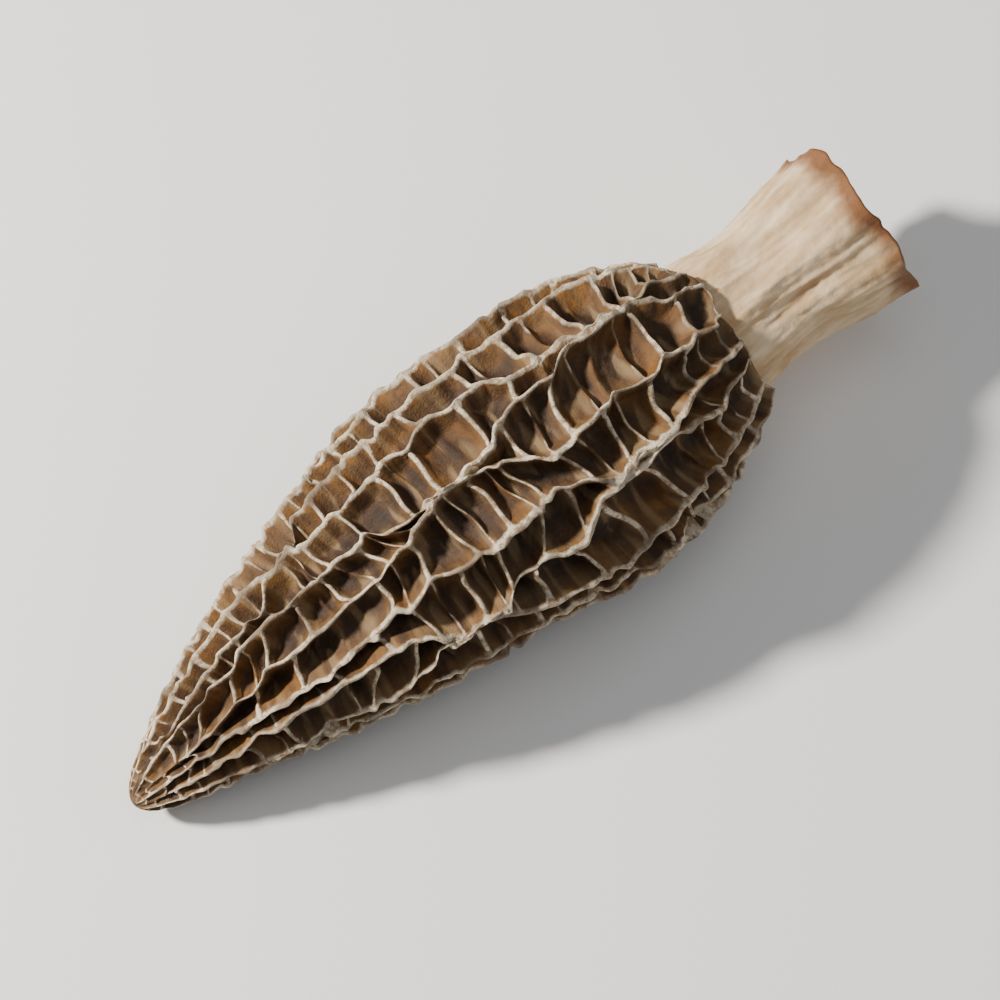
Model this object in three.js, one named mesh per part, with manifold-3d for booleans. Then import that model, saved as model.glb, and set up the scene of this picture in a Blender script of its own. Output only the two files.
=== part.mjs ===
// A dried morel, cut at the stem and lying on its side.
// Millimetres, +Z up. The long axis runs along X, with the cap's tip towards -X and the cut stem towards +X.
// The origin is on the surface that the mushroom lies on, under the middle of its box.
//
// The cap is a net of ridges around an egg-shaped hollow shell. Long ridges run from the margin to the tip,
// and short cross ridges close the strips between them into pits, staggered like bricks from strip to strip.
// Along the mushroom, "reach" is the distance from the cap's margin, positive towards the tip.

import * as THREE from "three";
import { mergeVertices } from "three/addons/utils/BufferGeometryUtils.js";
import Module from "manifold-3d";

const TAU = 2 * Math.PI;
const rad = THREE.MathUtils.degToRad;

// Cap outline
const CAP_LENGTH = 52;
const CAP_WIDTH = 22; // over the ridges, at the widest
const EGG_TAPER = 0.42; // 0 would be an ellipse
const MARGIN_ANGLE = rad(26); // where the egg curve is cut off for the stem
const EGG_LENGTH = CAP_LENGTH / (1 - (1 - Math.cos(MARGIN_ANGLE)) / 2);
const EGG_PEAK_COSINE = (Math.sqrt(1 + 8 * EGG_TAPER ** 2) - 1) / (4 * EGG_TAPER);
const EGG_PEAK = Math.sqrt(1 - EGG_PEAK_COSINE ** 2) * (1 + EGG_TAPER * EGG_PEAK_COSINE);
const WIDEST_REACH = (EGG_LENGTH * (Math.cos(MARGIN_ANGLE) - EGG_PEAK_COSINE)) / 2;

// Net of ridges
const RIDGES = 18; // an even number, so that the brick pattern closes around the cap
const PITS = 18; // from the margin to the tip, in each strip
const RIDGE_HEIGHT = 2.7;
const MARGIN_RELIEF = 0.4; // share of the ridge height that is left at the margin
const MARGIN_EDGE = 0.75; // height of the ridge that runs round the margin
const TIP_RADIUS = 6.5; // the relief fades where the cap is thinner than this
const MID_CROWDING = 0.22; // how much closer the pits are at mid length
const RIDGE_HALF_WIDTH = 0.09; // of a strip, at half height
const PIT_BOWL = 0.24; // how much the pits' floors rise towards their walls
const KINK = 0.05; // how far a cross ridge pulls a long ridge sideways, in strips
const JOINED = 0.92; // share of a strip that closes where the long ridges beside it run together
const JOIN_SPAN = 1.1; // pits over which they come together
const SLANT = 0.28; // how far a long ridge carries the net along the cap, in pits
const TIP_FADE_START = 0.7; // share of the cap's rows where every other ridge starts to sink
const TIP_FADE_SPAN = 0.16;

// Hollow shell
const WALL = 1.0;
const COLLAR_RADIUS = 5.35; // the cap's underside, where it meets the stem
const COLLAR_REACH = 0.3;
const THROAT_RADIUS = 4.1;
const CAVITY_START = rad(50); // where the hollow reaches its full width, as an angle on the egg curve
const CAVITY_END = rad(152); // where it ends

// Stem
const STEM_LENGTH = 13;
const STEM_RADIUS = 5.2;
const STEM_WAIST = 0.45;
const STEM_FLARE = 1.1;
const STEM_WALL = 0.95;
const STEM_FOLDS = 7;
const STEM_FOLD_DEPTH = 0.28;
const JOINT_GAP = 0.3;

// How it lies
const FLATTENING = 0.92; // height of a section over its width, pressed in drying
const AXIS_HEIGHT = 9.3;
const DROOP = 0.0051; // the tip bends down by this times the square of its distance, in 1/mm
const SWAY = 1.4;
const SWAY_REACH = 22;
const PRESSED_REACH = 17; // middle of the spot on the underside where the net was pressed flat
const PRESSED_HALF_LENGTH = 7;
const PRESSED_HALF_ANGLE = rad(27);
const CENTRE = new THREE.Vector2(19.137, 0.003); // of the box, as reach and sideways

// Shares of a strip and of a pit at which the mesh has its lines: one on each crest, one at each wall's foot
const COLUMNS = [0, 0.19, 0.5, 0.81];
const RIDGE_ROWS = [0, 0.25, 0.5, 0.75];
const EVEN_ROWS = [0, 0.19, 0.5, 0.81];
const ODD_ROWS = [0, 0.31, 0.5, 0.69];

// A repeatable stream of numbers from 0 to 1.
function randomStream(seed) {
  let state = seed >>> 0;
  return () => {
    state = (Math.imul(state, 1664525) + 1013904223) >>> 0;
    return state / 2 ** 32;
  };
}

const wrap = (value, count) => ((value % count) + count) % count;
const lerp = THREE.MathUtils.lerp;
const smoothstep = THREE.MathUtils.smoothstep;

// Each long ridge wanders, has its own height, and some are broken by a low saddle.
function makeRidges(random) {
  return Array.from({ length: RIDGES }, (_, j) => ({
    offset: 0.22 * (random() - 0.5),
    slowPeriod: 7 + 5 * random(),
    slowPhase: random(),
    quickPeriod: 3 + 1.6 * random(),
    quickPhase: random(),
    height: 0.86 + 0.14 * random(),
    fadeStart: TIP_FADE_START + 0.1 * random(),
    fades: j % 2 === 1,
    saddleRow: PITS * (0.12 + 0.62 * random()),
    saddleDepth: random() < 0.45 ? 0.6 : 0,
  }));
}

// Height of each strip's cross ridges, one a row. A few are nearly missing.
function makeCrossRidges(random) {
  return Array.from({ length: RIDGES }, () =>
    Array.from({ length: PITS + 2 }, () => (random() < 0.12 ? 0.2 : 0.5 + 0.32 * random())),
  );
}

// Over some strips the two long ridges run together for a while and part again, at a place of the cap's
// length that isn't the same in strips near each other.
function makeJoins(random) {
  return Array.from({ length: RIDGES }, (_, strip) => {
    const middle = PITS * (0.08 + 0.25 * (strip % 3) + 0.14 * random());
    const halfLength = 0.1 + 0.8 * random();
    const share = random() < 0.6 ? JOINED : 0;
    return { middle, halfLength, share };
  });
}

// Each long ridge carries the net along the cap, by a slow wave and by a step each half row.
function makeCarries(random) {
  return Array.from({ length: RIDGES }, () => ({
    period: 8 + 4 * random(),
    phase: random(),
    steps: Array.from({ length: 2 * PITS + 2 }, () => 0.26 * (random() - 0.5)),
  }));
}

const random = randomStream(20417);
const ridges = makeRidges(random);
const crossRidges = makeCrossRidges(random);
const joins = makeJoins(random);
const carries = makeCarries(random);

// Cross ridges stand on whole rows in even strips and on half rows in odd ones.
const brick = (strip) => 0.5 * (wrap(strip, RIDGES) % 2);

// How far the net is carried along the cap at a long ridge, in pits: not at all at the margin and the tip.
function carry(ridge, row) {
  const { period, phase, steps } = carries[wrap(ridge, RIDGES)];
  const place = THREE.MathUtils.clamp(2 * row, 0, 2 * PITS);
  const first = Math.floor(place);
  const step = lerp(steps[first], steps[first + 1], place - first);
  const slow = SLANT * Math.sin(TAU * (row / period + phase));
  return (slow + step) * smoothstep(row, 0, 2.5) * (1 - smoothstep(row, PITS - 3.5, PITS));
}

// The rise of a wall beside a crest, from 1 on it to 0 half a pit away.
function wallRise(distance) {
  const blade = 1 / (1 + (distance / RIDGE_HALF_WIDTH) ** 4);
  return (1 - PIT_BOWL) * blade + PIT_BOWL * Math.max(1 - 2 * distance, 0) ** 2;
}

function ridgeHeight(ridge, row) {
  const { height, fades, fadeStart, saddleRow, saddleDepth } = ridges[wrap(ridge, RIDGES)];
  const share = row / PITS;
  const tip = fades ? 1 - 0.85 * smoothstep(share, fadeStart, fadeStart + TIP_FADE_SPAN) : 1;
  const saddle = 1 - saddleDepth * Math.exp(-(((row - saddleRow) / 0.5) ** 2));
  return height * tip * saddle;
}

function crossHeight(strip, row) {
  const place = THREE.MathUtils.clamp(Math.round(row - brick(strip)), 0, PITS);
  return crossRidges[wrap(strip, RIDGES)][place];
}

// Distance along a strip to its nearest cross ridge, in pits.
function crossDistance(strip, row) {
  const place = row - brick(strip);
  return Math.abs(place - Math.round(place));
}

// Place of a long ridge around the cap at a row, in strips, before any two run together.
function lonePlace(ridge, row) {
  const { offset, slowPeriod, slowPhase, quickPeriod, quickPhase } = ridges[wrap(ridge, RIDGES)];
  const wander =
    0.15 * Math.sin(TAU * (row / slowPeriod + slowPhase)) +
    0.07 * Math.sin(TAU * (row / quickPeriod + quickPhase));
  const side = ridge % 2 === 0 ? 1 : -1;
  const pull = 1 + Math.sin(TAU * (row / 5.3 + quickPhase));
  const kink = KINK * pull * side * Math.cos(TAU * row);
  return ridge + offset + wander + kink;
}

// Share by which the ridges beside a strip have run together at a row.
function joinShare(strip, row) {
  const { middle, halfLength, share } = joins[wrap(strip, RIDGES)];
  return share * (1 - smoothstep(Math.abs(row - middle) - halfLength, 0, JOIN_SPAN));
}

// Angle of a long ridge around the cap, at a row.
function ridgeAngle(ridge, row) {
  const here = lonePlace(ridge, row);
  const after = (lonePlace(ridge + 1, row) - here) * joinShare(ridge, row);
  const before = (here - lonePlace(ridge - 1, row)) * joinShare(ridge - 1, row);
  return (TAU * (here + (after - before) / 2)) / RIDGES;
}

// Width of a strip at a row, where 1 is an even share of the way around.
function stripWidth(strip, row) {
  return ((ridgeAngle(strip + 1, row) - ridgeAngle(strip, row)) * RIDGES) / TAU;
}

// The egg curve over the ridges: distance along the axis, radius, and outward normal.
function outline(angle) {
  const scale = CAP_WIDTH / 2 / EGG_PEAK;
  const sine = Math.sin(angle);
  const cosine = Math.cos(angle);
  const reach = (EGG_LENGTH * (Math.cos(MARGIN_ANGLE) - cosine)) / 2;
  const radius = scale * sine * (1 + EGG_TAPER * cosine);
  const along = (EGG_LENGTH / 2) * sine;
  const out = scale * (cosine + EGG_TAPER * Math.cos(2 * angle));
  const normal = new THREE.Vector2(-out, along).normalize();
  return { reach, radius, normal };
}

// The angle on the egg curve at a row, with the rows closer together at mid length.
function rowAngle(row) {
  const share = row / PITS;
  const spread = share + (MID_CROWDING / TAU) * Math.sin(TAU * share);
  return lerp(MARGIN_ANGLE, Math.PI, spread);
}

// Depth of the pits under the egg curve, which shrinks towards the tip and a little at the margin.
function reliefDepth(row, radius) {
  const margin = lerp(MARGIN_RELIEF, 1, smoothstep(row, 0, 1.8));
  return RIDGE_HEIGHT * margin * smoothstep(radius, 0, TIP_RADIUS);
}

// Slow lumps in the section, so that it isn't round.
function lumps(reach, angle) {
  return (
    1 +
    0.028 * Math.sin(2 * angle + 1.3 + reach * 0.05) +
    0.022 * Math.sin(3 * angle + 4 - reach * 0.09) +
    0.016 * Math.sin(angle + reach * 0.31)
  );
}

// Carries a point at a reach, an angle around the axis and a radius to where it lies, not under the surface.
function lay(reach, angle, radius) {
  const past = Math.max(reach - WIDEST_REACH, 0);
  const axisUp = AXIS_HEIGHT - DROOP * past ** 2;
  const axisAside = SWAY * Math.sin((reach - WIDEST_REACH) / SWAY_REACH);
  const x = CENTRE.x - reach;
  const y = axisAside + radius * Math.cos(angle) - CENTRE.y;
  const z = axisUp + FLATTENING * radius * Math.sin(angle);
  return new THREE.Vector3(x, y, Math.max(z, 0));
}

// How high a strip's cross ridges stand at a row.
function crossRise(strip, row) {
  return wallRise(crossDistance(strip, row)) * crossHeight(strip, row);
}

// 1 on the pressed spot under the cap and 0 away from it.
function pressed(reach, angle) {
  const along = (reach - PRESSED_REACH) / PRESSED_HALF_LENGTH;
  const around = (wrap(angle + TAU / 4 + Math.PI, TAU) - Math.PI) / PRESSED_HALF_ANGLE;
  return 1 - smoothstep(Math.hypot(along, around), 0.8, 1.1);
}

// Rise of the cross ridges at a column of a strip. On a long ridge the two strips beside it have half each.
function sharedCrossRise(strip, column, row) {
  const across = Math.min(column, 1 - column);
  const neighbour = column < 0.5 ? strip - 1 : strip + 1;
  const own = crossRise(strip, row);
  const between = (own + crossRise(neighbour, row)) / 2;
  const sag = 1 - 0.2 * smoothstep(across, 0, 0.5);
  return sag * lerp(between, own, smoothstep(across, 0, 0.35));
}

// A point of the cap's net: column is a share of the way across a strip, row counts pits from the margin.
function capPoint(strip, column, row) {
  const carried = row + lerp(carry(strip, row), carry(strip + 1, row), column);
  const angle = lerp(ridgeAngle(strip, row), ridgeAngle(strip + 1, row), column);
  const { reach, radius, normal } = outline(rowAngle(carried));
  const fromCrest = Math.min(column, 1 - column) * stripWidth(strip, row);
  const ridge = wallRise(fromCrest) * ridgeHeight(column < 0.5 ? strip : strip + 1, row);
  const margin = row < 0.5 ? MARGIN_EDGE * wallRise(row) : 0;
  const rise = Math.max(ridge, sharedCrossRise(strip, column, row), margin, pressed(reach, angle));
  const depth = reliefDepth(carried, radius) * (1 - rise);
  return lay(reach - normal.x * depth, angle, (radius - normal.y * depth) * lumps(reach, angle));
}

// A closed body through rings of points, with a single point at each end.
function ringedBody(start, rings, end) {
  const count = rings[0].length;
  const points = [start, ...rings.flat(), end];
  const last = points.length - 1;
  const at = (ring, i) => 1 + ring * count + wrap(i, count);
  const faces = [];
  for (let i = 0; i < count; i++) {
    faces.push(0, at(0, i), at(0, i + 1));
    faces.push(last, at(rings.length - 1, i + 1), at(rings.length - 1, i));
  }
  for (let ring = 0; ring + 1 < rings.length; ring++) {
    for (let i = 0; i < count; i++) {
      faces.push(at(ring, i), at(ring + 1, i + 1), at(ring, i + 1));
      faces.push(at(ring, i), at(ring + 1, i), at(ring + 1, i + 1));
    }
  }
  const geometry = new THREE.BufferGeometry().setFromPoints(points);
  return geometry.setIndex(faces);
}

// One of the four rings of the net in a row of pits. Each strip's cross ridge has a line on its crest.
function netRing(row, line) {
  const ring = [];
  for (let strip = 0; strip < RIDGES; strip++) {
    for (const column of COLUMNS) {
      const stripRows = brick(strip) === 0 ? EVEN_ROWS : ODD_ROWS;
      const share = column === 0 ? RIDGE_ROWS[line] : stripRows[line];
      ring.push(capPoint(strip, column, row + share));
    }
  }
  return ring;
}

// The outside of the cap, closed across the collar.
function capBody() {
  const collar = [];
  for (let strip = 0; strip < RIDGES; strip++) {
    for (const column of COLUMNS) {
      const angle = lerp(ridgeAngle(strip, 0), ridgeAngle(strip + 1, 0), column);
      collar.push(lay(COLLAR_REACH, angle, COLLAR_RADIUS));
    }
  }
  const rings = [collar];
  for (let row = 0; row < PITS; row++) {
    for (let line = 0; line < (row === PITS - 1 ? 3 : 4); line++) rings.push(netRing(row, line));
  }
  return ringedBody(lay(COLLAR_REACH, 0, 0), rings, lay(CAP_LENGTH, 0, 0));
}

// The hollow inside the cap, as a solid to cut away. It starts outside the collar.
function cavityBody() {
  const sides = 24;
  const steps = 12;
  const ring = (reach, radiusAt) =>
    Array.from({ length: sides }, (_, i) => lay(reach, (TAU * i) / sides, radiusAt((TAU * i) / sides)));
  const rings = [ring(-2, () => THROAT_RADIUS), ring(1.5, () => THROAT_RADIUS)];
  for (let step = 0; step <= steps; step++) {
    const { reach, radius, normal } = outline(lerp(CAVITY_START, CAVITY_END, step / steps));
    const depth = reliefDepth(PITS / 2, radius) + WALL;
    const inner = radius - normal.y * depth;
    rings.push(ring(reach - normal.x * depth, (angle) => inner * lumps(reach, angle)));
  }
  const tip = outline(CAVITY_END);
  return ringedBody(lay(-2, 0, 0), rings, lay(tip.reach, 0, 0));
}

// Radius of the stem's outside: a waist, a flare towards the cut end, and folds along it.
function stemRadius(reach, angle) {
  const share = -reach / STEM_LENGTH;
  const waist = STEM_WAIST * Math.sin(Math.PI * Math.min(share * 1.3, 1)) ** 2;
  const flare = STEM_FLARE * share ** 3;
  const twist = 0.5 * share;
  const folds = STEM_FOLD_DEPTH * Math.cos(STEM_FOLDS * angle + twist) * smoothstep(share, 0, 0.3);
  return STEM_RADIUS - waist + flare + folds + 0.2 * Math.sin(2 * angle + 0.6);
}

function stemPoint(reach, angle, inset) {
  const ragged = reach < 0.5 - STEM_LENGTH ? 0.45 * Math.sin(3 * angle + 1) + 0.3 * Math.sin(5 * angle) : 0;
  return lay(reach + ragged, angle, stemRadius(reach, angle) - inset);
}

// A tube: up the outside from the cut end to the joint, and back down the inside.
function stemBody() {
  const sides = 42;
  const steps = 9;
  const top = COLLAR_REACH - JOINT_GAP;
  const loop = [];
  const reachAt = (step) => lerp(-STEM_LENGTH, top, step / steps);
  for (let step = 0; step <= steps; step++) loop.push({ reach: reachAt(step), inset: 0 });
  for (let step = steps; step >= 0; step--) loop.push({ reach: reachAt(step), inset: STEM_WALL });
  const points = loop.flatMap(({ reach, inset }) =>
    Array.from({ length: sides }, (_, i) => stemPoint(reach, (TAU * i) / sides, inset)),
  );
  const at = (ring, i) => wrap(ring, loop.length) * sides + wrap(i, sides);
  const faces = [];
  for (let ring = 0; ring < loop.length; ring++) {
    for (let i = 0; i < sides; i++) {
      faces.push(at(ring, i), at(ring + 1, i + 1), at(ring, i + 1));
      faces.push(at(ring, i), at(ring + 1, i), at(ring + 1, i + 1));
    }
  }
  return new THREE.BufferGeometry().setFromPoints(points).setIndex(faces);
}

// Cutting one closed body from another
const wasm = await Module();
wasm.setup();

function toSolid(geometry) {
  const merged = mergeVertices(geometry, 1e-4);
  const vertProperties = merged.attributes.position.array;
  const triVerts = new Uint32Array(merged.index.array);
  return new wasm.Manifold(new wasm.Mesh({ numProp: 3, vertProperties, triVerts }));
}

function toGeometry(solid) {
  const { vertProperties, triVerts } = solid.getMesh();
  const geometry = new THREE.BufferGeometry();
  geometry.setAttribute("position", new THREE.BufferAttribute(vertProperties, 3));
  geometry.setIndex(new THREE.BufferAttribute(triVerts, 1));
  geometry.computeVertexNormals();
  return geometry;
}

function namedMesh(name, geometry, colour, roughness) {
  const material = new THREE.MeshStandardMaterial({ color: colour, roughness, metalness: 0 });
  const mesh = new THREE.Mesh(geometry, material);
  mesh.name = name;
  return mesh;
}

const cap = toSolid(capBody()).subtract(toSolid(cavityBody()));
const stem = stemBody();
stem.computeVertexNormals();

const morel = new THREE.Group();
morel.add(namedMesh("cap", toGeometry(cap), "#6b5138", 0.85));
morel.add(namedMesh("stem", stem, "#cdb48c", 0.8));

export default morel;
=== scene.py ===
# Looks of a dried morel that lies on its side: a fine cap and stem, materials, floor, lights and camera.
# Shapes are worked out in millimetres, in the frame of the solids, and become metres when a mesh is made.
#
# Along the mushroom, "reach" is the distance from the cap's margin, positive towards the tip. On the net,
# a strip lies between two long ridges, "column" is a share of the way across it, and "row" counts pits from
# the margin. Widths on the net are shares of an even strip and lengths are in rows, unless a name or a
# comment says otherwise.
import math

import bpy
import numpy as np
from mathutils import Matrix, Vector


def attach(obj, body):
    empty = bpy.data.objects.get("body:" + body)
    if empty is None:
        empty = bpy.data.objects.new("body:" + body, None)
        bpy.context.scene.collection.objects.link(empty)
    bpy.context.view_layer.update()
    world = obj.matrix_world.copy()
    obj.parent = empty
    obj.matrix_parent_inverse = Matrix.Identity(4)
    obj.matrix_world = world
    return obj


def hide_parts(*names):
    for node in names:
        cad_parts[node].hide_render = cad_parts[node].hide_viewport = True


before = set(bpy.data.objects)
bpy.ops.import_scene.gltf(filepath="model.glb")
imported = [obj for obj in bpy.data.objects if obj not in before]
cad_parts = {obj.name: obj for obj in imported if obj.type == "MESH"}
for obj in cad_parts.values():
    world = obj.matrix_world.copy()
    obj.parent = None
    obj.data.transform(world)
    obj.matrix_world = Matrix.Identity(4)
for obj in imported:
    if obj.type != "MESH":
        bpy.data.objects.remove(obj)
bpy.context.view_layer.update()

TAU = 2 * math.pi
MESH_SCALE = 0.001  # metres in a millimetre

# Cap outline, as in the solids
CAP_LENGTH = 52.0
CAP_WIDTH = 22.0
EGG_TAPER = 0.42
MARGIN_ANGLE = math.radians(26)
EGG_LENGTH = CAP_LENGTH / (1 - (1 - math.cos(MARGIN_ANGLE)) / 2)
EGG_PEAK_COSINE = (math.sqrt(1 + 8 * EGG_TAPER**2) - 1) / (4 * EGG_TAPER)
EGG_PEAK = math.sqrt(1 - EGG_PEAK_COSINE**2) * (1 + EGG_TAPER * EGG_PEAK_COSINE)
WIDEST_REACH = EGG_LENGTH * (math.cos(MARGIN_ANGLE) - EGG_PEAK_COSINE) / 2
LUMPS = ((0.028, 2, 1.3, 0.05), (0.022, 3, 4, -0.09), (0.016, 1, 0, 0.31))  # height, count, phase, twist

# Net of ridges, as in the solids
SEED = 20417
RIDGES = 18
PITS = 18  # in each strip, one a row
NET_SHAPE = (RIDGES, PITS + 2)  # strips, and cross ridges in each
RIDGE_HEIGHT = 2.7  # millimetres
MARGIN_RELIEF = 0.4
MARGIN_RELIEF_ROWS = 1.8
MARGIN_EDGE = 0.75
TIP_RADIUS = 6.5  # millimetres
MID_CROWDING = 0.22
SLOW_WANDER = 0.15
QUICK_WANDER = 0.07
KINK = 0.05
KINK_PERIOD = 5.3
JOINED = 0.92
JOIN_SPAN = 1.1
SLANT = 0.28
CARRY_START = 2.5  # rows from the margin over which the net begins to be carried
CARRY_END = 3.5  # rows before the tip over which that ends
TIP_FADE = 0.85  # share of its height that every other ridge loses near the tip
TIP_FADE_START = 0.7  # share of the cap's rows
TIP_FADE_SPAN = 0.16  # the same
SADDLE_DEPTH = 0.6
SADDLE_HALF_LENGTH = 0.5
LOW_CROSS_SHARE = 0.2

# Ranges and chances of the net's random draws, as in the solids
RIDGE_OFFSETS = (-0.11, 0.11)
SLOW_PERIODS = (7, 12)
QUICK_PERIODS = (3, 4.6)
RIDGE_SHARES = (0.86, 1)  # of the full height
FADE_STARTS = (TIP_FADE_START, TIP_FADE_START + 0.1)
SADDLE_PLACES = (0.12, 0.74)  # shares of the cap's rows
SADDLE_CHANCE = 0.45
LOW_CROSS_CHANCE = 0.12
CROSS_SHARES = (0.5, 0.82)
JOIN_PLACES = (0.08, 0.22)  # shares of the cap's rows, in every third strip
JOIN_STEP = 0.25  # how much further along they are in each of the next two strips
JOIN_HALF_LENGTHS = (0.1, 0.9)
JOIN_CHANCE = 0.6
CARRY_PERIODS = (8, 12)
CARRY_STEPS = (-0.13, 0.13)

# Hollow shell, as in the solids
WALL = 1.0
COLLAR_RADIUS = 5.35
COLLAR_REACH = 0.3
THROAT_RADIUS = 4.1
THROAT_REACH = 1.5
CAVITY_START = math.radians(50)
CAVITY_END = math.radians(152)

# Stem, as in the solids
STEM_LENGTH = 13.0
STEM_RADIUS = 5.2
STEM_WAIST = 0.45
STEM_WAIST_END = 1 / 1.3  # share of the stem's length
STEM_FLARE = 1.1
STEM_WALL = 0.95
STEM_FOLDS = 7
STEM_FOLD_DEPTH = 0.28
STEM_FOLD_TWIST = 0.5
STEM_FOLD_START = 0.3  # share of the stem's length
STEM_OVAL = 0.2
STEM_OVAL_TURN = 0.6

# How the mushroom lies, as in the solids
FLATTENING = 0.92
AXIS_HEIGHT = 9.3
DROOP = 0.0051  # a millimetre, times the square of the distance
SWAY = 1.4
SWAY_REACH = 22.0
PRESSED_REACH = 17.0
PRESSED_HALF_LENGTH = 7.0
PRESSED_HALF_ANGLE = math.radians(27)
PRESSED_FADE = (0.8, 1.1)  # shares of its half length and angle
CENTRE = (19.137, 0.003)

# Fine net, which only this mesh has
FINE_SEED = 911
STRIP_COLUMNS = 20  # mesh lines across a strip
PIT_ROWS = 14  # mesh lines along a pit
COLUMN_CROWDING = 0.6  # how much closer the mesh lines lie at the long crests
ROW_CROWDING = 0.5  # the same at the cross ridges and the low rungs
CAVITY_RINGS = 14
RIDGE_HALF_WIDTH = 0.07  # at half height
RIDGE_SHARPNESS = 4.6
RIDGE_THICKNESSES = (0.75, 1.6)  # shares of the half width, drawn for each ridge
THICKNESS_RADIUS = 3.0  # millimetres: ridges thicken towards the tip, until the cap is this thin
THICKNESS_POWER = 0.4
JUNCTION_DIP = 0.035  # half of how much lower a crest is between the cross ridges and rungs
CROSS_HALF_WIDTH = 0.07
CROSS_SHARPNESS = 3.4
CROSS_SAG = 0.35  # how much lower a cross ridge is halfway
CROSS_BOW = 0.12
CROSS_BEND_BACK = 0.05
RUNG_CHANCE = 0.6  # a rung is a low ridge between two cross ridges
RUNG_SHARES = (0.2, 0.62)  # of the full height
RUNG_HALF_WIDTH = 0.05
RUNG_SAG = 0.45
RUNG_BOW = 0.1
MARGIN_HALF_WIDTH = 0.12
PIT_BOWL = 0.3
BOWL_END = 1.3  # the bowl of a pit has ended where a ridge's rise, times this, is 1
PIT_DEEPEST = 1.12  # share of the relief's depth that a wrinkled floor can reach
SHARED_WIDTHS = np.array([[0.12], [0.05]])  # where two strips share cross ridges: of rise, of pale crest
PALE_CREST_POWER = 1.7
PALE_CRESTS = (0.1, 0.4)  # heights from which a crest begins to be pale and is all pale
PALE_RUNGS = (0.1, 0.36)

# Waves along a long ridge: height, length in rows, phase from ridge to ridge, phase from side to side.
# Their heights are shares of the crest's thickness, of an even strip and of the ridge's height.
THICKNESS_WAVES = ((0.3, 3.3, 2.4, 0), (0.22, 1.27, 3.1, 1), (0.12, 0.61, 1.7, -2))
LEAN_WAVES = ((0.1, 5.1, 4.1, 0), (0.06, 1.7, 1, 0), (0.035, 0.47, 2.9, 0))
NOTCH_WAVES = ((0.09, 0.83, 1.9, 0),)

# Waves around the mushroom: height in millimetres, count, phase
HEM_WAVES = ((0.3, 3, 0.7), (0.2, 7, 2.1), (0.1, 16, 0))
HEM_ROWS = 1.6
CUT_WAVES = ((0.4, 3, 1), (0.26, 5, 0))

# Noises in the shapes: height and wavelength in millimetres. Heights in the pits, the fibres' too, are
# shares of the relief's depth.
NOISE_WAVES = 24
NOISE_LENGTHS = (0.7, 1.3)  # shares of a noise's wavelength
NOISE_GAIN = 0.8
PIT_NOISES = ((0.05, 2.6), (0.025, 0.9))
PIT_NOISE_RADIUS = 10.0
PIT_NOISE_FADE = 0.6  # how much weaker it is on the crests
FIBRE_HEIGHT = 0.03
FIBRE_WAVELENGTH = 0.9
FIBRE_STRETCH = np.array([1.0, 0.22, 0.22])  # fibres cross the strips, so they are short along the cap
STEM_NOISES = ((0.13, 4.2), (0.09, 1.9), (0.04, 1.0))
STEM_NOISE_STRETCH = np.array([2.2, 2.2, 0.28])  # wrinkles run along the stem
STEM_GRAIN_NOISES = ((0.03, 0.8),)
STEM_NOISE_RADIUS = 5.0
CUT_NOISES = ((0.16, 3.1), (0.1, 1.1))

# Fine stem
STEM_SIDES = 224
STEM_RINGS = 64
STEM_OVERLAP = 0.9  # how far it goes up into the cap
STEM_FIT = (-0.6, 0.4)  # reaches between which it narrows to fit in the cap
STEM_OUTSIDE_FIT = COLLAR_RADIUS + 0.35
STEM_INSIDE_FIT = THROAT_RADIUS + 0.5
CUT_SPAN = 3.4  # length of the thinned and toasted cut end
CUT_THINNING = 0.12  # off each face of the wall, at the cut
CUT_SMOOTHING = 0.5  # how much weaker the wrinkles are at the cut

# Colours, as linear light
CREST_PALE = (0.62, 0.53, 0.39)
CREST_GREY = (0.4, 0.34, 0.25)
CREST_TAN = (0.25, 0.155, 0.08)
CREST_DARK = (0.15, 0.105, 0.065)
WALL_TAN = (0.1, 0.062, 0.026)
FIBRE_TAN = (0.25, 0.165, 0.08)
PIT_AMBER = (0.19, 0.076, 0.009)
PIT_BROWN = (0.07, 0.034, 0.014)
# painted shade at the bottom of the pits, and the dark streaks of the pits' fibres
PIT_SHADE_AND_FIBRE_DARK = (0.018, 0.009, 0.005)
STEM_CREAM = (0.68, 0.52, 0.33)
STEM_TAN_AND_GROOVE_SHADE = (0.47, 0.30, 0.15)
STEM_TOASTED = (0.17, 0.062, 0.018)
HOLLOW_BROWN = (0.16, 0.085, 0.04)
FLOOR_PALE = (0.8, 0.79, 0.77)
SKY_PALE = (0.9, 0.93, 1.0)

# Noises in the colours: waves a millimetre, detail, roughness
PIT_BLOTCHES = (0.35, 4.0, 0.55)
PIT_GRAIN = (2.4, 6.0, 0.65)
PIT_SPECKLE = (7.0, 3.0, 0.55)
WALL_PATCHES = (1.1, 5.0, 0.6)
CREST_PATCHES = (0.8, 5.0, 0.55)
CREST_FLECKS = (1.7, 5.0, 0.7)
CREST_STAINS = (0.22, 4.0, 0.55)
STEM_STREAKS = (0.9, 4.0, 0.6)
STEM_STREAK_STRETCH = 4.0
STEM_BLOTCHES = (0.3, 4.0, 0.55)
STEM_GRAIN = (3.6, 5.0, 0.6)
FLESH_SPECULAR = 0.35

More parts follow.
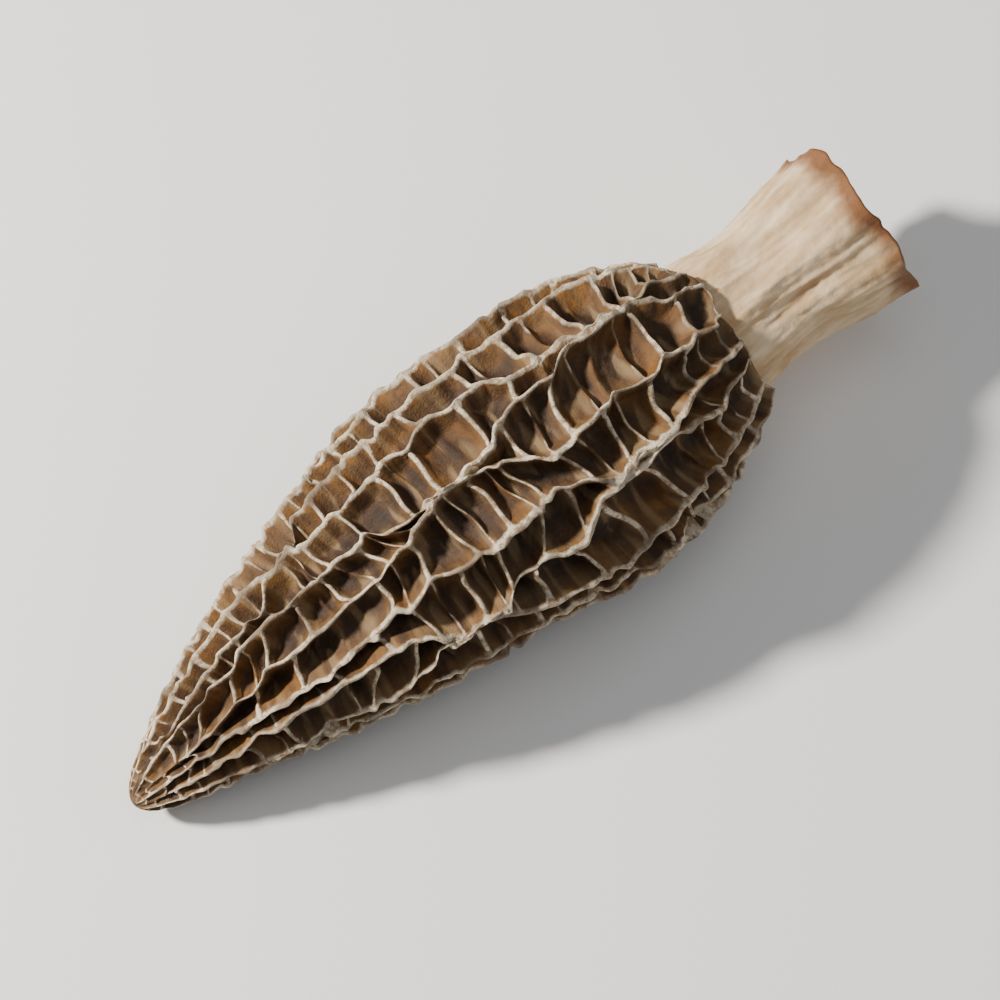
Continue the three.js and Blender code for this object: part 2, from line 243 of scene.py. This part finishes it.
# Floor, lights and camera, in metres and watts
FLOOR_SIZE = 3.0
FLOOR_ROUGHNESS = 0.75
LIGHT_TARGET = Vector((0, 0, 0.008))
LIGHTS = (  # name, place, diameter, power, colour
    ("key_light", (-0.22, 0.22, 0.26), 0.05, 4.4, (1.0, 0.95, 0.88)),
    ("fill_light", (0.28, -0.22, 0.26), 0.30, 0.35, (0.92, 0.96, 1.0)),
    ("top_light", (0.02, 0.0, 0.5), 0.4, 0.5, (1.0, 1.0, 1.0)),
)
SKY_STRENGTH = 0.16
CAMERA_AZIMUTH = math.radians(-131.4)  # turns the tip to the lower left and the stem to the upper right
CAMERA_ELEVATION = math.radians(72)
CAMERA_DISTANCE = 0.36
CAMERA_TARGET = Vector((0.0, 0.0, 0.0075))
CAMERA_NEAREST = 0.01
CAMERA_LENS = 185  # millimetres, as is the sensor's width
CAMERA_SENSOR = 36


def smoothstep(value, low, high):
    share = np.clip((value - low) / (high - low), 0, 1)
    return share * share * (3 - 2 * share)


def lerp(start, end, share):
    return start + (end - start) * share


def random_stream(seed):
    """Repeatable numbers from 0 to 1, the same as the solids are made with."""
    state = seed
    while True:
        state = (state * 1664525 + 1013904223) % 2**32
        yield state / 2**32


def draw_ridges(stream):
    """Each long ridge's wander, height, fading and saddle, as one array a value."""
    rows = []
    for ridge in range(RIDGES):
        offset = lerp(*RIDGE_OFFSETS, next(stream))
        slow = (lerp(*SLOW_PERIODS, next(stream)), next(stream))
        quick = (lerp(*QUICK_PERIODS, next(stream)), next(stream))
        height = lerp(*RIDGE_SHARES, next(stream))
        fade_start = lerp(*FADE_STARTS, next(stream))
        saddle_row = PITS * lerp(*SADDLE_PLACES, next(stream))
        saddle_depth = SADDLE_DEPTH if next(stream) < SADDLE_CHANCE else 0.0
        rows.append((offset, *slow, *quick, height, fade_start, ridge % 2, saddle_row, saddle_depth))
    names = ("offset", "slow_period", "slow_phase", "quick_period", "quick_phase")
    names += ("height", "fade_start", "fades", "saddle_row", "saddle_depth")
    return dict(zip(names, np.array(rows).T))


def draw_cross_ridges(stream):
    """The height of each cross ridge, by strip and row."""
    height = np.zeros(NET_SHAPE)
    for strip in range(RIDGES):
        for place in range(PITS + 2):
            low = next(stream) < LOW_CROSS_CHANCE
            height[strip, place] = LOW_CROSS_SHARE if low else lerp(*CROSS_SHARES, next(stream))
    return height


def draw_joins(stream):
    """Where two long ridges run together over the strip between them: middle, half length, and share."""
    rows = []
    for strip in range(RIDGES):
        middle = PITS * (JOIN_STEP * (strip % 3) + lerp(*JOIN_PLACES, next(stream)))
        half_length = lerp(*JOIN_HALF_LENGTHS, next(stream))
        share = JOINED if next(stream) < JOIN_CHANCE else 0.0
        rows.append((middle, half_length, share))
    return dict(zip(("middle", "half_length", "share"), np.array(rows).T))


def draw_carries(stream):
    """How each long ridge carries the net along with it: a slow wave, and a step each half row."""
    period, phase = np.zeros(RIDGES), np.zeros(RIDGES)
    steps = np.zeros((RIDGES, 2 * PITS + 2))
    for ridge in range(RIDGES):
        period[ridge] = lerp(*CARRY_PERIODS, next(stream))
        phase[ridge] = next(stream)
        for step in range(2 * PITS + 2):
            steps[ridge, step] = lerp(*CARRY_STEPS, next(stream))
    return period, phase, steps


stream = random_stream(SEED)
ridges = draw_ridges(stream)
cross_height = draw_cross_ridges(stream)
joins = draw_joins(stream)
carry_period, carry_phase, carry_steps = draw_carries(stream)

fine = np.random.default_rng(FINE_SEED)
cross_bow = fine.uniform(-CROSS_BOW, CROSS_BOW, NET_SHAPE)
cross_bend_back = fine.uniform(-CROSS_BEND_BACK, CROSS_BEND_BACK, NET_SHAPE)
has_rung = fine.random(NET_SHAPE) < RUNG_CHANCE
rung_height = np.where(has_rung, fine.uniform(*RUNG_SHARES, NET_SHAPE), 0)
rung_bow = fine.uniform(-RUNG_BOW, RUNG_BOW, NET_SHAPE)
pit_tone = fine.random(NET_SHAPE)
ridge_thickness = fine.uniform(*RIDGE_THICKNESSES, RIDGES)
noise_directions = fine.normal(size=(NOISE_WAVES, 3))
noise_phases = fine.uniform(0, TAU, NOISE_WAVES)


def noise(points, wavelength):
    """Smooth noise of about -1 to 1 at points in millimetres, as a sum of waves in many directions."""
    directions = noise_directions / np.linalg.norm(noise_directions, axis=1)[:, None]
    lengths = wavelength * np.linspace(*NOISE_LENGTHS, NOISE_WAVES, endpoint=False)[:, None]
    phases = points @ (TAU * directions / lengths).T + noise_phases
    return np.sin(phases).sum(axis=-1) / math.sqrt(NOISE_WAVES) * NOISE_GAIN


def noises(points, layers):
    return sum(height * noise(points, wavelength) for height, wavelength in layers)


def waves_around(angle, waves):
    return sum(height * np.sin(count * angle + phase) for height, count, phase in waves)


def ridge_waves(ridge, row, waves, side=0):
    """Waves along a long ridge, out of step with those of its neighbours."""
    line = ridge % RIDGES
    return sum(
        height * np.sin(TAU * row / length + ridge_phase * line + side_phase * side)
        for height, length, ridge_phase, side_phase in waves
    )


def brick(strip):
    return 0.5 * (strip % 2)


def nearest_place(table, strip, row):
    place = np.clip(np.round(row - brick(strip)), 0, PITS).astype(int)
    return table[strip % RIDGES, place]


def pit_place(table, strip, row):
    """A table's value for the pit that a row lies in, between two cross ridges of a strip."""
    place = np.clip(np.floor(row - brick(strip)), 0, PITS).astype(int)
    return table[strip % RIDGES, place]


def carry(ridge, row):
    """How far the net is carried along the cap at a long ridge, in rows."""
    line = ridge % RIDGES
    place = np.clip(2 * row, 0, 2 * PITS)
    first = np.floor(place).astype(int)
    step = lerp(carry_steps[line, first], carry_steps[line, first + 1], place - first)
    slow = SLANT * np.sin(TAU * (row / carry_period[line] + carry_phase[line]))
    inside = smoothstep(row, 0, CARRY_START) * (1 - smoothstep(row, PITS - CARRY_END, PITS))
    return (slow + step) * inside


def lone_place(ridge, row):
    """Place of a long ridge around the cap in strips, before any two run together."""
    own = {name: values[ridge % RIDGES] for name, values in ridges.items()}
    wander = SLOW_WANDER * np.sin(TAU * (row / own["slow_period"] + own["slow_phase"]))
    wander = wander + QUICK_WANDER * np.sin(TAU * (row / own["quick_period"] + own["quick_phase"]))
    side = 1 - 2 * (ridge % 2)
    pull = 1 + np.sin(TAU * (row / KINK_PERIOD + own["quick_phase"]))
    return ridge + own["offset"] + wander + KINK * pull * side * np.cos(TAU * row)


def join_share(strip, row):
    own = {name: values[strip % RIDGES] for name, values in joins.items()}
    away = np.abs(row - own["middle"]) - own["half_length"]
    return own["share"] * (1 - smoothstep(away, 0, JOIN_SPAN))


def ridge_angle(ridge, row):
    here = lone_place(ridge, row)
    after = (lone_place(ridge + 1, row) - here) * join_share(ridge, row)
    before = (here - lone_place(ridge - 1, row)) * join_share(ridge - 1, row)
    return TAU * (here + 0.5 * (after - before)) / RIDGES


def column_angle(strip, column, row):
    return lerp(ridge_angle(strip, row), ridge_angle(strip + 1, row), column)


def strip_width(strip, row):
    """Width of a strip, where 1 is an even share of the way around."""
    return (ridge_angle(strip + 1, row) - ridge_angle(strip, row)) * RIDGES / TAU


def ridge_height(ridge, row):
    own = {name: values[ridge % RIDGES] for name, values in ridges.items()}
    fade = smoothstep(row / PITS, own["fade_start"], own["fade_start"] + TIP_FADE_SPAN)
    tip = 1 - TIP_FADE * fade * own["fades"]
    saddle = 1 - own["saddle_depth"] * np.exp(-(((row - own["saddle_row"]) / SADDLE_HALF_LENGTH) ** 2))
    return own["height"] * tip * saddle


def outline(angle):
    """Reach, radius and outward normal of the egg curve over the ridges."""
    scale = CAP_WIDTH / 2 / EGG_PEAK
    sine, cosine = np.sin(angle), np.cos(angle)
    reach = EGG_LENGTH * (math.cos(MARGIN_ANGLE) - cosine) / 2
    radius = scale * sine * (1 + EGG_TAPER * cosine)
    along = EGG_LENGTH / 2 * sine
    out = scale * (cosine + EGG_TAPER * np.cos(2 * angle))
    size = np.hypot(along, out)
    return reach, radius, -out / size, along / size


def row_angle(row):
    """The angle on the egg curve at a row, with the rows closer together at mid length."""
    share = row / PITS
    return lerp(MARGIN_ANGLE, math.pi, share + MID_CROWDING / TAU * np.sin(TAU * share))


def relief_depth(row, radius):
    margin = lerp(MARGIN_RELIEF, 1, smoothstep(row, 0, MARGIN_RELIEF_ROWS))
    return RIDGE_HEIGHT * margin * smoothstep(radius, 0, TIP_RADIUS)


def lumps(reach, angle):
    """Slow lumps in the section, so that it isn't round, as a factor for the radius."""
    return 1 + sum(
        height * np.sin(count * angle + phase + twist * reach) for height, count, phase, twist in LUMPS
    )


def lay(reach, angle, radius):
    """Points on the mushroom as it lies, never under the surface."""
    past = np.maximum(reach - WIDEST_REACH, 0)
    axis_up = AXIS_HEIGHT - DROOP * past**2
    axis_aside = SWAY * np.sin((reach - WIDEST_REACH) / SWAY_REACH)
    x = CENTRE[0] - reach + 0 * angle
    y = axis_aside + radius * np.cos(angle) - CENTRE[1]
    z = axis_up + FLATTENING * radius * np.sin(angle)
    return np.stack([x, y, np.maximum(z, 0)], axis=-1)


def pressed(reach, angle):
    """1 on the pressed spot under the cap and 0 away from it."""
    along = (reach - PRESSED_REACH) / PRESSED_HALF_LENGTH
    around = ((angle + TAU / 4 + math.pi) % TAU - math.pi) / PRESSED_HALF_ANGLE
    return 1 - smoothstep(np.hypot(along, around), *PRESSED_FADE)


def blade(distance, half_width, sharpness=CROSS_SHARPNESS):
    """Rise of a thin ridge beside its crest, from 1 to nearly 0."""
    return 1 / (1 + (distance / half_width) ** sharpness)


def crest_half_width(ridge, side, row, radius):
    """Half the thickness of a long ridge on one side of its crest, in even strips."""
    lumpy = 1 + ridge_waves(ridge, row, THICKNESS_WAVES, side)
    towards_tip = (CAP_WIDTH / 2 / np.maximum(radius, THICKNESS_RADIUS)) ** THICKNESS_POWER
    return RIDGE_HALF_WIDTH * ridge_thickness[ridge % RIDGES] * lumpy * towards_tip


def long_ridge(strip, column, row, radius):
    """Rise of the nearest long ridge, nearness to its pale crest, and how far it leans aside, in strips."""
    ridge = np.where(column < 0.5, strip, strip + 1)
    side = np.where(column < 0.5, 1, -1)
    from_crest = np.minimum(column, 1 - column) * strip_width(strip, row)
    crest = blade(from_crest, crest_half_width(ridge, side, row, radius), RIDGE_SHARPNESS)
    height = ridge_height(ridge, row)
    dips = JUNCTION_DIP * (np.cos(2 * TAU * row) - 1) + np.minimum(ridge_waves(ridge, row, NOTCH_WAVES), 0)
    rise = crest * height * (1 + dips)
    pale = crest**PALE_CREST_POWER * smoothstep(height, *PALE_CRESTS)
    return rise, pale, ridge_waves(ridge, row, LEAN_WAVES) * rise**2


def cross_bend(strip, row, column):
    """How far the cross ridges and low rungs are bowed along the cap, none at the long ridges."""
    offset = row - brick(strip) - np.round(row - brick(strip))
    bow = nearest_place(cross_bow, strip, row) * (1 - (2 * column - 1) ** 2)
    bow = bow + nearest_place(cross_bend_back, strip, row) * np.sin(TAU * column)
    rung = pit_place(rung_bow, strip, row) * np.sin(math.pi * column) ** 2
    return lerp(rung, bow, np.cos(math.pi * offset) ** 2)


def cross_rise(strip, row, column):
    """Rise of a strip's cross ridges and low rungs, and nearness to their pale crests."""
    place = row - brick(strip)
    distance = np.abs(place - np.round(place))
    middle = smoothstep(np.minimum(column, 1 - column), 0, 0.5)
    height = nearest_place(cross_height, strip, row)
    rung_top = pit_place(rung_height, strip, row) * (1 - RUNG_SAG * middle)
    main = blade(distance, CROSS_HALF_WIDTH)
    rung = blade(0.5 - distance, RUNG_HALF_WIDTH)
    bowl = PIT_BOWL / 2 * (1 - 2 * distance) ** 2 * (1 - main * height)
    rise = np.maximum(main * height * (1 - CROSS_SAG * middle), rung * rung_top) + bowl
    pale = np.maximum(main * smoothstep(height, *PALE_CRESTS), rung * smoothstep(rung_top, *PALE_RUNGS))
    return np.array([rise, pale])


def shared_cross_rise(strip, row, column):
    """The same, but on a long ridge the two strips beside it have half each."""
    neighbour = np.where(column < 0.5, strip - 1, strip + 1)
    own = cross_rise(strip, row, column)
    between = (own + cross_rise(neighbour, row, 1 - column)) / 2
    return lerp(between, own, smoothstep(np.minimum(column, 1 - column), 0, SHARED_WIDTHS))


def net_grid():
    """Strip, column and row of each point of the net, as rings from the margin to the tip."""
    steps = np.arange(STRIP_COLUMNS) / STRIP_COLUMNS
    shares = steps - COLUMN_CROWDING / TAU * np.sin(TAU * steps)
    times = np.arange(PITS * PIT_ROWS) / PIT_ROWS
    rows = times - ROW_CROWDING / (2 * TAU) * np.sin(2 * TAU * times)
    count = RIDGES * STRIP_COLUMNS
    strip = np.tile(np.repeat(np.arange(RIDGES), STRIP_COLUMNS), len(rows))
    column = np.tile(shares, RIDGES * len(rows))
    return strip, column, np.repeat(rows, count)


def net_points():
    """Points of the cap's outside, with their rise, nearness to a crest, pit's tone and fibre."""
    strip, column, row = net_grid()
    carried = lerp(carry(strip, row), carry(strip + 1, row), column)
    shifted = row + carried + cross_bend(strip, row, column) * smoothstep(row, 0, 1)
    reach, radius, normal_reach, normal_radius = outline(row_angle(shifted))
    long_rise, long_crest, lean = long_ridge(strip, column, row, radius)
    cross, cross_crest = shared_cross_rise(strip, row, column)
    angle = column_angle(strip, column, row) + lean * TAU / RIDGES
    on_floor = pressed(reach, angle)

    margin = np.where(row < 0.5, MARGIN_EDGE * blade(row, MARGIN_HALF_WIDTH), 0)
    rise = np.maximum(np.maximum(long_rise, cross), margin)
    bowl = PIT_BOWL * (1 - 2 * np.minimum(column, 1 - column)) ** 2
    rise = rise + bowl * (1 - np.clip(rise * BOWL_END, 0, 1))
    rise = np.clip(np.maximum(rise, on_floor), 0, 1)
    around = lay(reach, TAU * (strip + column) / RIDGES, PIT_NOISE_RADIUS)
    fibre = noise(around * FIBRE_STRETCH, FIBRE_WAVELENGTH)
    wrinkle = noises(around, PIT_NOISES) + FIBRE_HEIGHT * fibre
    wrinkle = wrinkle * (1 - PIT_NOISE_FADE * rise) * (1 - on_floor)

    depth = relief_depth(shifted, radius) * np.clip(1 - rise + wrinkle, 0, PIT_DEEPEST)
    hem = waves_around(angle, HEM_WAVES) * (1 - smoothstep(row, 0, HEM_ROWS))
    out = (radius - normal_radius * depth) * lumps(reach, angle)
    points = lay(reach - normal_reach * depth + hem, angle, out)
    near_crest = np.maximum(np.maximum(long_crest, cross_crest), on_floor)
    tone = nearest_place(pit_tone, strip, row + 0.5)
    return points, {"rise": rise, "crest": near_crest, "tone": tone, "fibre": fibre}


def ring_faces(rings, count):
    """Quads between rings of points that follow each other in a list."""
    ring, place = np.meshgrid(np.arange(rings - 1), np.arange(count), indexing="ij")
    here = ring * count + place
    aside = ring * count + (place + 1) % count
    return np.stack([here, here + count, aside + count, aside], axis=-1).reshape(-1, 4).tolist()


def make_mesh(name, points, faces, attributes):
    mesh = bpy.data.meshes.new(name)
    mesh.from_pydata((np.asarray(points) * MESH_SCALE).tolist(), [], faces)
    for attribute, values in attributes.items():
        layer = mesh.attributes.new(attribute, "FLOAT", "POINT")
        layer.data.foreach_set("value", np.asarray(values, dtype=np.float32))
    mesh.shade_smooth()
    mesh.update()
    made = bpy.data.objects.new(name, mesh)
    bpy.context.collection.objects.link(made)
    return made


def cavity_rings(count):
    """Rings of the hollow inside the cap, from its tip end to the throat."""
    angle = TAU * np.arange(count) / count
    rings = []
    for share in np.linspace(1, 0, CAVITY_RINGS):
        reach, radius, normal_reach, normal_radius = outline(lerp(CAVITY_START, CAVITY_END, share))
        depth = relief_depth(PITS / 2, radius) + WALL
        inner = (radius - normal_radius * depth) * lumps(reach, angle)
        rings.append(lay(reach - normal_reach * depth, angle, inner))
    for reach in (THROAT_REACH, COLLAR_REACH):
        rings.append(lay(reach, angle, np.full(count, THROAT_RADIUS)))
    return rings


def collar_ring(count):
    """Where the cap's underside meets the stem, under the first ring of the net."""
    strip, column, row = (values[:count] for values in net_grid())
    return lay(COLLAR_REACH, column_angle(strip, column, row), np.full(count, COLLAR_RADIUS))


def make_cap():
    """One closed skin: the hollow from its tip end, the collar, then the net up to the cap's tip."""
    count = RIDGES * STRIP_COLUMNS
    inside = [*cavity_rings(count), collar_ring(count)]
    net, values = net_points()
    ends = [lay(reach, np.zeros(1), np.zeros(1)) for reach in (CAP_LENGTH, outline(CAVITY_END)[0])]
    points = np.vstack([*inside, net, *ends])
    rings = len(points) // count
    faces = ring_faces(rings, count)
    tip, hollow_end = rings * count, rings * count + 1
    last = (rings - 1) * count
    for place in range(count):
        following = (place + 1) % count
        faces.append((last + place, tip, last + following))
        faces.append((place, following, hollow_end))
    inner = len(inside) * count
    tip_value = 0.5  # between a pit's and a crest's
    attributes = {
        name: np.concatenate([np.zeros(inner), value, [tip_value, 0]]) for name, value in values.items()
    }
    attributes["hollow"] = np.concatenate([np.ones(inner), np.zeros(len(net)), [0, 1]])
    return make_mesh("cap_fine", points, faces, attributes)


def stem_radius(reach, angle):
    share = -reach / STEM_LENGTH
    waist = STEM_WAIST * np.sin(math.pi * np.minimum(share / STEM_WAIST_END, 1)) ** 2
    folds = np.cos(STEM_FOLDS * angle + STEM_FOLD_TWIST * share) * smoothstep(share, 0, STEM_FOLD_START)
    flare = STEM_FLARE * np.maximum(share, 0) ** 3
    oval = STEM_OVAL * np.sin(2 * angle + STEM_OVAL_TURN)
    return STEM_RADIUS - waist + flare + STEM_FOLD_DEPTH * folds + oval


def stem_wall(reaches, inset, thinning, widest):
    """Points of one face of the stem's wall, with their nearness to the cut and their wrinkle."""
    reach, angle = np.meshgrid(reaches, TAU * np.arange(STEM_SIDES) / STEM_SIDES, indexing="ij")
    near_cut = smoothstep(-reach, STEM_LENGTH - CUT_SPAN, STEM_LENGTH)
    across = [STEM_NOISE_RADIUS * np.cos(angle), STEM_NOISE_RADIUS * np.sin(angle)]
    around = np.stack([*across, 0 * reach], axis=-1)
    along = np.stack([*across, reach], axis=-1)
    ragged = near_cut * (waves_around(angle, CUT_WAVES) + noises(around, CUT_NOISES))
    wrinkle = noises(along * STEM_NOISE_STRETCH, STEM_NOISES) + noises(along, STEM_GRAIN_NOISES)
    radius = stem_radius(reach, angle) - inset - thinning * near_cut
    radius = radius + wrinkle * (1 - CUT_SMOOTHING * near_cut)
    radius = lerp(radius, np.minimum(radius, widest), smoothstep(reach, *STEM_FIT))
    points = lay((reach + ragged).ravel(), angle.ravel(), radius.ravel())
    return points, near_cut.ravel(), wrinkle.ravel()


def make_stem():
    """One closed skin: the outside from the cut end up, then the inside back down to it."""
    reaches = np.linspace(-STEM_LENGTH, STEM_OVERLAP, STEM_RINGS)
    outer = stem_wall(reaches, 0.0, CUT_THINNING, STEM_OUTSIDE_FIT)
    inner = stem_wall(reaches[::-1], STEM_WALL, -CUT_THINNING, STEM_INSIDE_FIT)
    points, cut, wrinkle = (np.concatenate(both) for both in zip(outer, inner))
    rings = 2 * STEM_RINGS
    faces = ring_faces(rings, STEM_SIDES)
    last = (rings - 1) * STEM_SIDES
    for place in range(STEM_SIDES):
        following = (place + 1) % STEM_SIDES
        faces.append((last + place, place, following, last + following))
    hollow = np.repeat([0, 1], STEM_RINGS * STEM_SIDES)
    return make_mesh("stem_fine", points, faces, {"cut": cut, "wrinkle": wrinkle, "hollow": hollow})


class Nodes:
    """A material's node tree, with short ways to add the nodes used here."""

    def __init__(self, name):
        self.material = bpy.data.materials.new(name)
        self.material.use_nodes = True
        self.tree = self.material.node_tree
        self.shader = self.tree.nodes["Principled BSDF"]

    def link(self, source, target):
        self.tree.links.new(source, target)

    def feed(self, value, socket):
        """Gives a socket another node's output, a colour or a number."""
        if isinstance(value, bpy.types.NodeSocket):
            self.link(value, socket)
        elif isinstance(value, tuple):
            socket.default_value = (*value, 1)
        else:
            socket.default_value = value

    def attribute(self, name):
        node = self.tree.nodes.new("ShaderNodeAttribute")
        node.attribute_type = "GEOMETRY"
        node.attribute_name = name
        return node.outputs["Fac"]

    def noise(self, scale, detail, roughness, stretch=1.0):
        """Noise at so many waves a millimetre, stretched along X if asked."""
        coordinates = self.tree.nodes.new("ShaderNodeTexCoord")
        mapping = self.tree.nodes.new("ShaderNodeMapping")
        mapping.inputs["Scale"].default_value = (1 / stretch, 1, 1)
        node = self.tree.nodes.new("ShaderNodeTexNoise")
        node.inputs["Scale"].default_value = scale / MESH_SCALE
        node.inputs["Detail"].default_value = detail
        node.inputs["Roughness"].default_value = roughness
        self.link(coordinates.outputs["Object"], mapping.inputs["Vector"])
        self.link(mapping.outputs["Vector"], node.inputs["Vector"])
        return node.outputs["Fac"]

    def mix(self, factor, first, second):
        """The first colour where the factor is 0, and the second where it is 1."""
        node = self.tree.nodes.new("ShaderNodeMix")
        node.data_type = "RGBA"
        for value, place in ((factor, 0), (first, 6), (second, 7)):
            self.feed(value, node.inputs[place])
        return node.outputs[2]

    def maths(self, operation, first, second):
        node = self.tree.nodes.new("ShaderNodeMath")
        node.operation = operation
        self.feed(first, node.inputs[0])
        self.feed(second, node.inputs[1])
        return node.outputs[0]

    def remap(self, value, low, high, to_low=0.0, to_high=1.0):
        """Stretches the range from low to high to another, and holds a value beyond it at its end."""
        node = self.tree.nodes.new("ShaderNodeMapRange")
        self.link(value, node.inputs["Value"])
        limits = {"From Min": low, "From Max": high, "To Min": to_low, "To Max": to_high}
        for socket, limit in limits.items():
            node.inputs[socket].default_value = limit
        return node.outputs["Result"]

    def bump(self, height, distance, strength):
        node = self.tree.nodes.new("ShaderNodeBump")
        node.inputs["Distance"].default_value = distance * MESH_SCALE
        node.inputs["Strength"].default_value = strength
        self.link(height, node.inputs["Height"])
        self.link(node.outputs["Normal"], self.shader.inputs["Normal"])

    def finish(self, colour, roughness):
        self.link(colour, self.shader.inputs["Base Color"])
        self.link(roughness, self.shader.inputs["Roughness"])
        self.shader.inputs["Specular IOR Level"].default_value = FLESH_SPECULAR


def floor_colour(nodes, grain):
    """A pit's floor: brown, with amber patches in some of the pits and tan in its grain."""
    tone = nodes.remap(nodes.attribute("tone"), 0.25, 0.9)
    blotches = nodes.remap(nodes.noise(*PIT_BLOTCHES), 0.38, 0.62)
    colour = nodes.mix(nodes.maths("MULTIPLY", tone, blotches), PIT_BROWN, PIT_AMBER)
    return nodes.mix(nodes.remap(grain, 0.46, 0.74), colour, WALL_TAN)


def wall_colour(nodes, grain):
    """The walls between the pits: mottled amber, tan and brown."""
    colour = nodes.mix(nodes.remap(grain, 0.42, 0.6), PIT_AMBER, WALL_TAN)
    return nodes.mix(nodes.remap(nodes.noise(*WALL_PATCHES), 0.46, 0.6, 0.0, 0.85), colour, PIT_BROWN)


def crest_colour(nodes):
    """The crests: pale, with grey patches, tan flecks and a few dark stains."""
    colour = nodes.mix(nodes.remap(nodes.noise(*CREST_PATCHES), 0.42, 0.58), CREST_PALE, CREST_GREY)
    colour = nodes.mix(nodes.remap(nodes.noise(*CREST_FLECKS), 0.49, 0.57, 0.0, 0.85), colour, CREST_TAN)
    return nodes.mix(nodes.remap(nodes.noise(*CREST_STAINS), 0.5, 0.62, 0.0, 0.85), colour, CREST_DARK)


def cap_material():
    nodes = Nodes("cap_flesh")
    grain = nodes.noise(*PIT_GRAIN)
    rise = nodes.maths("ADD", nodes.attribute("rise"), nodes.remap(grain, 0.3, 0.7, -0.07, 0.07))
    near_crest = nodes.maths("ADD", nodes.attribute("crest"), nodes.remap(grain, 0.3, 0.7, -0.06, 0.06))
    fibre = nodes.attribute("fibre")
    # Painted shade: where the rise is lowest, at the bottom of the pits, the colour is darkened nearly to
    # black.
    colour = nodes.mix(nodes.remap(rise, 0.0, 0.26, 0.2, 1.0), PIT_SHADE_AND_FIBRE_DARK, floor_colour(nodes, grain))
    colour = nodes.mix(nodes.remap(rise, 0.3, 0.8), colour, wall_colour(nodes, grain))
    colour = nodes.mix(nodes.remap(fibre, 0.2, 0.9, 0.0, 0.55), colour, FIBRE_TAN)
    colour = nodes.mix(nodes.remap(fibre, -0.2, -0.9, 0.0, 0.6), colour, PIT_SHADE_AND_FIBRE_DARK)
    colour = nodes.mix(nodes.remap(near_crest, 0.74, 0.92), colour, crest_colour(nodes))
    colour = nodes.mix(nodes.attribute("hollow"), colour, HOLLOW_BROWN)
    nodes.finish(colour, roughness=nodes.remap(grain, 0.3, 0.7, 0.62, 0.86))
    speckle = nodes.maths("MULTIPLY", nodes.noise(*PIT_SPECKLE), 0.6)
    nodes.bump(nodes.maths("ADD", grain, speckle), distance=0.14, strength=0.7)
    return nodes.material


def stem_material():
    """Cream with tan streaks and blotches and painted shade in the grooves of its wrinkles, toasted at the
    cut and brown inside.
    """
    nodes = Nodes("stem_flesh")
    streaks = nodes.noise(*STEM_STREAKS, stretch=STEM_STREAK_STRETCH)
    blotches = nodes.noise(*STEM_BLOTCHES)
    grain = nodes.noise(*STEM_GRAIN)
    colour = nodes.mix(nodes.remap(streaks, 0.4, 0.65), STEM_CREAM, STEM_TAN_AND_GROOVE_SHADE)
    colour = nodes.mix(nodes.remap(blotches, 0.5, 0.72, 0.0, 0.55), colour, STEM_TAN_AND_GROOVE_SHADE)
    # Painted shade: the grooves of the wrinkles, where the surface sinks in, are darkened towards tan.
    colour = nodes.mix(nodes.remap(nodes.attribute("wrinkle"), 0.02, -0.16, 0.0, 0.6), colour, STEM_TAN_AND_GROOVE_SHADE)
    toast = nodes.maths("ADD", nodes.attribute("cut"), nodes.remap(blotches, 0.3, 0.7, -0.25, 0.2))
    colour = nodes.mix(nodes.remap(toast, 0.4, 0.95, 0.0, 0.95), colour, STEM_TOASTED)
    colour = nodes.mix(nodes.maths("MULTIPLY", nodes.attribute("hollow"), 0.75), colour, HOLLOW_BROWN)
    nodes.finish(colour, roughness=nodes.remap(grain, 0.3, 0.7, 0.6, 0.82))
    nodes.bump(nodes.maths("ADD", grain, streaks), distance=0.12, strength=0.4)
    return nodes.material


def floor_material():
    nodes = Nodes("floor_pale")
    nodes.feed(FLOOR_PALE, nodes.shader.inputs["Base Color"])
    nodes.feed(FLOOR_ROUGHNESS, nodes.shader.inputs["Roughness"])
    return nodes.material


def dress_cap_and_stem():
    cap = make_cap()
    cap.data.materials.append(cap_material())
    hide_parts("cap")
    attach(cap, "root")
    stem = make_stem()
    stem.data.materials.append(stem_material())
    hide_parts("stem")
    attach(stem, "root")


def add_floor():
    bpy.ops.mesh.primitive_plane_add(size=FLOOR_SIZE, location=(0, 0, 0))
    floor = bpy.context.object
    floor.name = "floor"
    floor.data.materials.append(floor_material())


def add_light(name, place, diameter, power, colour):
    light = bpy.data.lights.new(name, "AREA")
    light.shape = "DISK"
    light.size = diameter
    light.energy = power
    light.color = colour
    lamp = bpy.data.objects.new(name, light)
    lamp.location = place
    lamp.rotation_euler = (LIGHT_TARGET - Vector(place)).to_track_quat("-Z", "Y").to_euler()
    bpy.context.collection.objects.link(lamp)


def add_sky():
    world = bpy.data.worlds.new("studio")
    world.use_nodes = True
    background = world.node_tree.nodes["Background"]
    background.inputs["Color"].default_value = (*SKY_PALE, 1)
    background.inputs["Strength"].default_value = SKY_STRENGTH
    bpy.context.scene.world = world


def add_camera():
    """The camera looks steeply down on the mushroom."""
    data = bpy.data.cameras.new("camera")
    data.lens = CAMERA_LENS
    data.sensor_width = CAMERA_SENSOR
    data.clip_start = CAMERA_NEAREST
    camera = bpy.data.objects.new("camera", data)
    flat = math.cos(CAMERA_ELEVATION)
    direction = Vector(
        (flat * math.cos(CAMERA_AZIMUTH), flat * math.sin(CAMERA_AZIMUTH), math.sin(CAMERA_ELEVATION))
    )
    camera.location = CAMERA_TARGET + CAMERA_DISTANCE * direction
    camera.rotation_euler = (-direction).to_track_quat("-Z", "Y").to_euler()
    bpy.context.collection.objects.link(camera)
    bpy.context.scene.camera = camera


add_camera()
add_floor()
for light in LIGHTS:
    add_light(*light)
add_sky()
dress_cap_and_stem()
